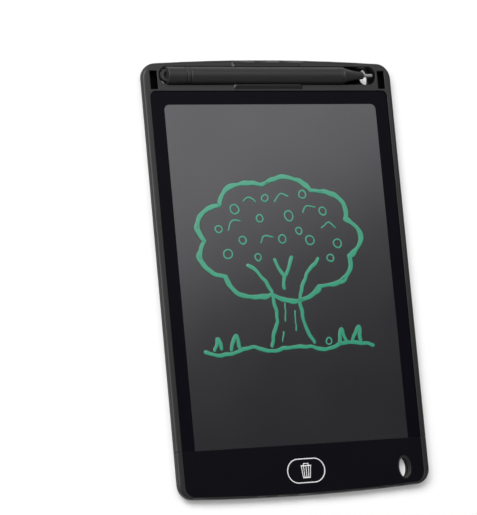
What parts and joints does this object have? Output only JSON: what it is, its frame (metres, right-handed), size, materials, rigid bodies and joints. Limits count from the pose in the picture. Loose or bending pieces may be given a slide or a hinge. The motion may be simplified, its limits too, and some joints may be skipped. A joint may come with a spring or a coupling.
{
  "type": "lcd writing tablet",
  "caption": "Slim dark writing tablet with a large film screen, a glossy lower panel with an oval erase key, a strap hole, and a pen that lies in a slot along the top.",
  "frame": {"origin": "middle of the outline, on the plane of the two rear pads that the tablet lies on", "axes": "+X to the right of the screen, +Y towards the pen slot, +Z out of the screen"},
  "size_m": [0.145, 0.2254, 0.0099],
  "materials": {
    "front_plastic": "satin moulded, softly polished edges",
    "back_plastic": "fine spark-eroded matt",
    "gloss_panel": "piano gloss",
    "white_print": "printed white",
    "border_film": "gloss film, printed black from behind",
    "screen_film": "smooth writing film, soft sheen",
    "crystal_sheet": "dark film",
    "backing_film": "matt black",
    "foam_tape": "thin adhesive tape",
    "inner_board": "plain moulded sheet",
    "laminate": "green solder mask",
    "switch_plastic": "moulded black",
    "plunger_plastic": "moulded white",
    "tail_film": "amber film with printed lines",
    "cell_steel": "rolled",
    "contact_metal": "plated spring strip",
    "screw_steel": "blackened",
    "pen_plastic": "smooth moulded",
    "nib_plastic": "smooth white"
  },
  "bodies": {
    "root": {"front_frame": "front_plastic", "lower_front_cover": "front_plastic", "back_cover": "back_plastic", "battery_door": "back_plastic", "panel_overlay": "gloss_panel", "button_ring": "white_print", "border_mask": "border_film", "writing_film": "screen_film", "rear_film": "screen_film", "crystal_layer": "crystal_sheet", "backing_sheet": "backing_film", "edge_tape": "foam_tape", "support_board": "inner_board", "circuit_board": "laminate", "switch_body": "switch_plastic", "flex_connector": "switch_plastic", "control_chip": "switch_plastic", "board_passives": "switch_plastic", "flex_tail": "tail_film", "battery_cell": "cell_steel", "contact_negative": "contact_metal", "contact_positive": "contact_metal", "housing_screws": "screw_steel", "board_screws": "screw_steel", "battery_door_screw": "screw_steel"},
    "stylus": {"pen_cap": "pen_plastic", "pen_barrel": "pen_plastic", "pen_nose": "pen_plastic", "pen_nib": "nib_plastic"},
    "erase_key": {"erase_button": "gloss_panel", "button_mark": "white_print", "switch_plunger": "plunger_plastic"}
  },
  "joints": [
    {"name": "stylus_lift", "type": "slide", "parent": "root", "child": "stylus", "axis": [0, 0, 1], "range_m": [0, 0.025]},
    {"name": "erase_button_press", "type": "slide", "parent": "root", "child": "erase_key", "axis": [0, 0, -1], "range_m": [0, 0.00035], "stiffness_N_per_m": 300}
  ]
}
